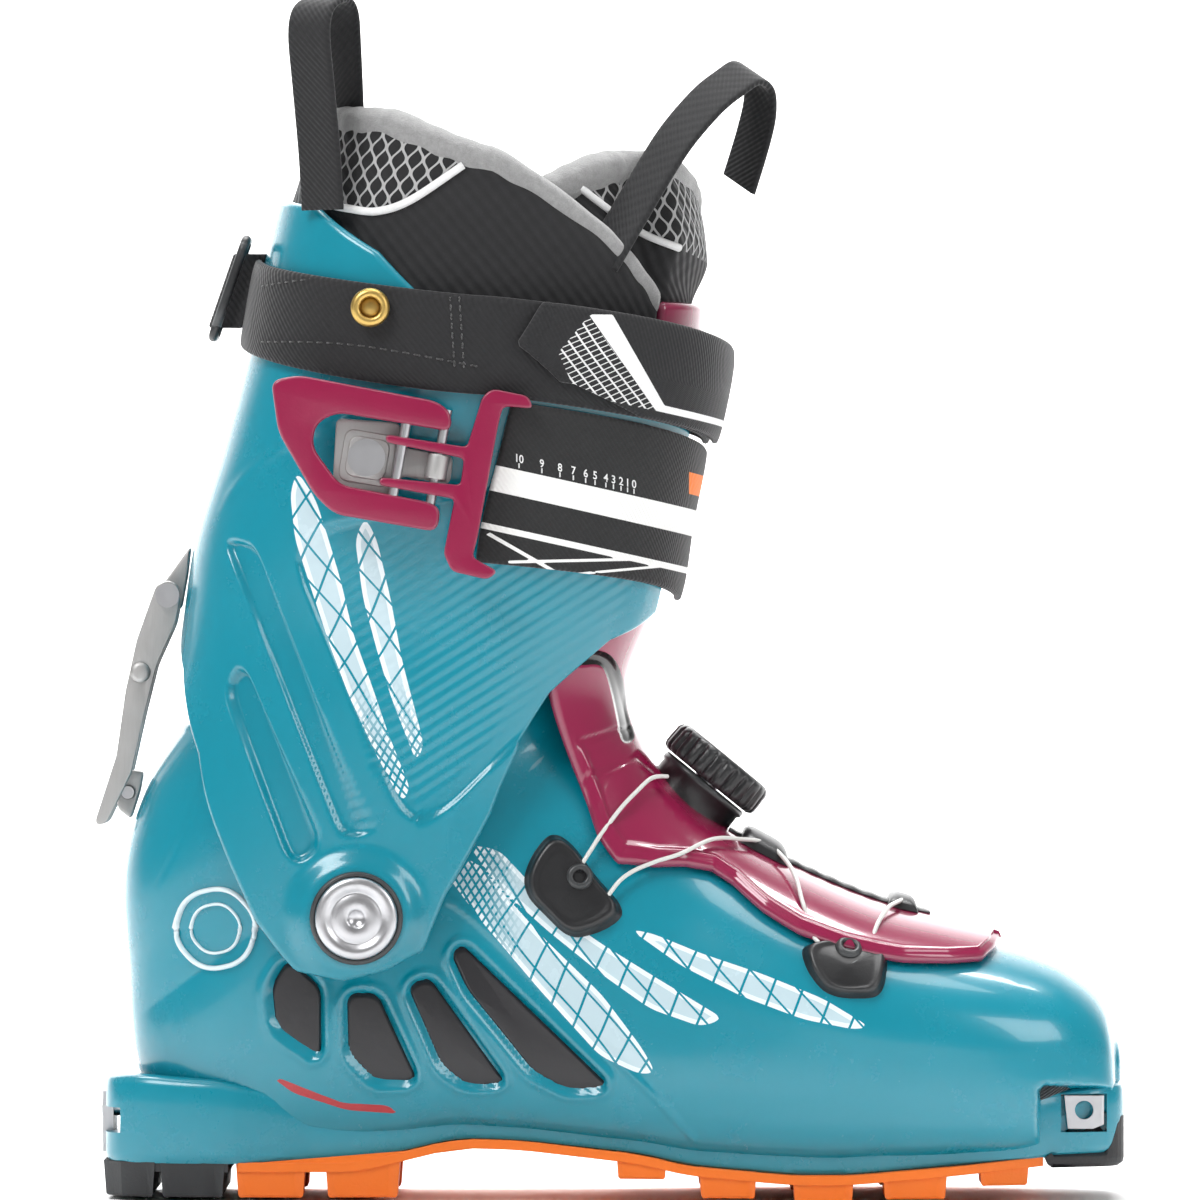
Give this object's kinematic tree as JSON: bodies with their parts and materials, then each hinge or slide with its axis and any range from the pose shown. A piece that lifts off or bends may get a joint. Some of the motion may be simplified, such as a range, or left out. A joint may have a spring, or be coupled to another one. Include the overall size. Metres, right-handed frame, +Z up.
{
  "type": "ski boot",
  "caption": "Alpine touring ski boot with hinged cuff, rear walk lever, buckle and power strap, dial cable closure, liner and lugged sole with toe binding inserts.",
  "frame": {"origin": "centre of the bounding box at the lowest point of the sole", "axes": "+X towards the toe, +Z up, lateral side of the boot faces -Y"},
  "size_m": [0.2888, 0.1231, 0.3359],
  "materials": {
    "shell_plastic": "gloss",
    "tongue_plastic": "gloss",
    "orange_rubber": "matte",
    "black_rubber": "matte",
    "steel": "brushed",
    "black_plastic": "satin",
    "bush_plastic": "matte",
    "webbing": "woven",
    "liner_fabric": "knit",
    "brass": "satin"
  },
  "bodies": {
    "shell": {"lower_shell": "shell_plastic", "outsole": "orange_rubber", "heel_tread": "black_rubber", "toe_bumper": "black_rubber", "toe_insert": "steel", "heel_insert": "steel", "sole_screws": "steel", "window_panels_lateral": "black_plastic", "window_panels_medial": "black_plastic", "footboard": "bush_plastic", "footbed": "liner_fabric", "tongue_lower": "tongue_plastic", "tongue_flex": "tongue_plastic", "lace_spine": "black_plastic", "dial_base": "black_plastic", "tongue_guide_mid": "black_plastic", "tongue_guide_front": "black_plastic", "ankle_guide_lateral": "black_plastic", "ankle_guide_medial": "black_plastic", "toe_guide_lateral": "black_plastic", "toe_guide_medial": "black_plastic", "lace_lateral": "steel", "lace_medial": "steel", "pivot_bolt_lateral": "steel", "pivot_bolt_medial": "steel", "pivot_bushes": "bush_plastic", "latch_bracket": "steel", "latch_pin": "steel", "shell_plugs": "black_plastic", "liner_foot": "liner_fabric", "liner_ankle": "liner_fabric"},
    "cuff": {"cuff": "shell_plastic", "tongue_upper": "tongue_plastic", "liner_shaft": "liner_fabric", "liner_tongue": "liner_fabric", "pull_loop_rear": "webbing", "pull_loop_front": "webbing", "power_strap": "webbing", "power_strap_pad": "webbing", "strap_ring": "black_plastic", "strap_grommets": "brass", "buckle_strap": "webbing", "strap_rivets": "steel", "buckle_base": "steel", "buckle_rivet": "steel", "lever_bracket": "steel", "lever_spring": "steel"},
    "buckle_lever": {"buckle_lever": "tongue_plastic", "lever_pin": "steel", "frame_pins": "steel"},
    "buckle_frame": {"buckle_frame": "tongue_plastic"},
    "walk_lever": {"walk_lever": "steel", "walk_lever_pin": "steel"},
    "dial_core": {"dial_core": "steel"},
    "dial_knob": {"dial_knob": "black_plastic"},
    "lace_spool": {"lace_spool": "black_plastic"}
  },
  "joints": [
    {"name": "cuff_hinge", "type": "hinge", "parent": "shell", "child": "cuff", "pos_m": [-0.07, 0, 0.0795], "axis": [0, 1, 0], "range_deg": [-20, 14], "deforming": ["tongue_flex", "liner_ankle"]},
    {"name": "buckle_lever_hinge", "type": "hinge", "parent": "cuff", "child": "buckle_lever", "pos_m": [-0.0475, -0.0595, 0.2045], "axis": [0.1822, 0, 0.9833], "range_deg": [0, 140]},
    {"name": "buckle_frame_hinge", "type": "hinge", "parent": "buckle_lever", "child": "buckle_frame", "pos_m": [-0.0578, -0.0605, 0.2065], "axis": [0.1822, 0, 0.9833], "range_deg": [-140, 0]},
    {"name": "walk_lever_hinge", "type": "hinge", "parent": "cuff", "child": "walk_lever", "pos_m": [-0.124, 0, 0.169], "axis": [0, 1, 0], "range_deg": [0, 70]},
    {"name": "dial_pull", "type": "slide", "parent": "shell", "child": "dial_core", "axis": [0.6334, 0, 0.7738], "range_m": [0, 0.0025]},
    {"name": "dial_turn", "type": "hinge", "parent": "dial_core", "child": "dial_knob", "pos_m": [0.0218, 0, 0.1099], "axis": [0.6334, 0, 0.7738], "continuous": true},
    {"name": "spool_turn", "type": "hinge", "parent": "shell", "child": "lace_spool", "pos_m": [0.0218, 0, 0.1099], "axis": [0.6334, 0, 0.7738], "continuous": true}
  ],
  "couplings": [
    {"joint": "buckle_frame_hinge", "follows": "buckle_lever_hinge", "ratio": -1},
    {"joint": "spool_turn", "follows": "dial_turn", "ratio": 1}
  ]
}
